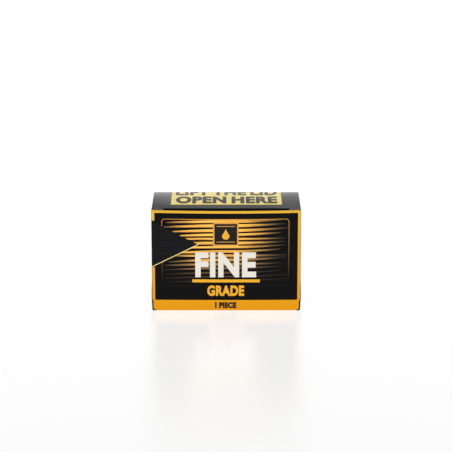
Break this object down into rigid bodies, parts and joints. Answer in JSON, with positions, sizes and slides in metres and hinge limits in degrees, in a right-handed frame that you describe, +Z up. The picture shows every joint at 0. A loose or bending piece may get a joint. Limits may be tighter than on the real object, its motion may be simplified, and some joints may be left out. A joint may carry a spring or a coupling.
{
  "type": "boxed clay block",
  "caption": "Tuck-end paperboard carton with a hinged arched lid, holding a foam hand block faced with detailing clay under a cover film.",
  "frame": {"origin": "middle of the base, on the surface that the carton stands on", "axes": "+Z up, the printed front faces -Y, +X to the right seen from the front, and the lid's hinge crease lies along X at the top of the back"},
  "size_m": [0.1022, 0.051, 0.0718],
  "materials": {
    "printed_board": "folding boxboard printed black and amber, satin film laminate",
    "lid_print": "folding boxboard printed charcoal, satin film laminate",
    "plain_board": "unprinted uncoated inside of the boxboard",
    "foam": "dark closed-cell foam with a fine open skin",
    "glue_film": "thin double-sided adhesive film",
    "clay": "smooth kneadable polymer clay, slightly waxy",
    "cover_film": "clear peel-off cover film"
  },
  "bodies": {
    "carton": {"front_panel": "printed_board", "back_panel": "printed_board", "left_side_panel": "printed_board", "right_side_panel": "printed_board", "glue_flap": "plain_board", "foam_block": "foam", "glue_film": "glue_film", "clay_pad": "clay", "cover_film": "cover_film"},
    "lid": {"lid_panel": "lid_print"},
    "lid_tuck": {"top_tuck_flap": "printed_board"},
    "dust_top_left": {"top_dust_flap_left": "printed_board"},
    "dust_top_right": {"top_dust_flap_right": "printed_board"},
    "floor_flap": {"bottom_panel": "printed_board"},
    "floor_tuck": {"bottom_tuck_flap": "printed_board"},
    "dust_bottom_left": {"bottom_dust_flap_left": "printed_board"},
    "dust_bottom_right": {"bottom_dust_flap_right": "printed_board"}
  },
  "joints": [
    {"name": "lid_hinge", "type": "hinge", "parent": "carton", "child": "lid", "pos_m": [0, 0.023, 0.071], "axis": [-1, 0, 0], "range_deg": [0, 150]},
    {"name": "lid_tuck_fold", "type": "hinge", "parent": "lid", "child": "lid_tuck", "pos_m": [0, -0.02195, 0.07055], "axis": [1, 0, 0], "range_deg": [0, 30]},
    {"name": "dust_top_left_fold", "type": "hinge", "parent": "carton", "child": "dust_top_left", "pos_m": [-0.05, 0, 0.07025], "axis": [0, -1, 0], "range_deg": [0, 90]},
    {"name": "dust_top_right_fold", "type": "hinge", "parent": "carton", "child": "dust_top_right", "pos_m": [0.05, 0, 0.07025], "axis": [0, 1, 0], "range_deg": [0, 90]},
    {"name": "bottom_hinge", "type": "hinge", "parent": "carton", "child": "floor_flap", "pos_m": [0, -0.023, 0], "axis": [-1, 0, 0], "range_deg": [0, 150]},
    {"name": "bottom_tuck_fold", "type": "hinge", "parent": "floor_flap", "child": "floor_tuck", "pos_m": [0, 0.02195, 0.00045], "axis": [1, 0, 0], "range_deg": [0, 30]},
    {"name": "dust_bottom_left_fold", "type": "hinge", "parent": "carton", "child": "dust_bottom_left", "pos_m": [-0.05, 0, 0.00075], "axis": [0, 1, 0], "range_deg": [0, 90]},
    {"name": "dust_bottom_right_fold", "type": "hinge", "parent": "carton", "child": "dust_bottom_right", "pos_m": [0.05, 0, 0.00075], "axis": [0, -1, 0], "range_deg": [0, 90]}
  ],
  "couplings": [
    {"joint": "lid_tuck_fold", "follows": "lid_hinge", "ratio": 0.2},
    {"joint": "dust_top_left_fold", "follows": "lid_hinge", "ratio": 0.6},
    {"joint": "dust_top_right_fold", "follows": "lid_hinge", "ratio": 0.6},
    {"joint": "bottom_tuck_fold", "follows": "bottom_hinge", "ratio": 0.2},
    {"joint": "dust_bottom_left_fold", "follows": "bottom_hinge", "ratio": 0.6},
    {"joint": "dust_bottom_right_fold", "follows": "bottom_hinge", "ratio": 0.6}
  ]
}
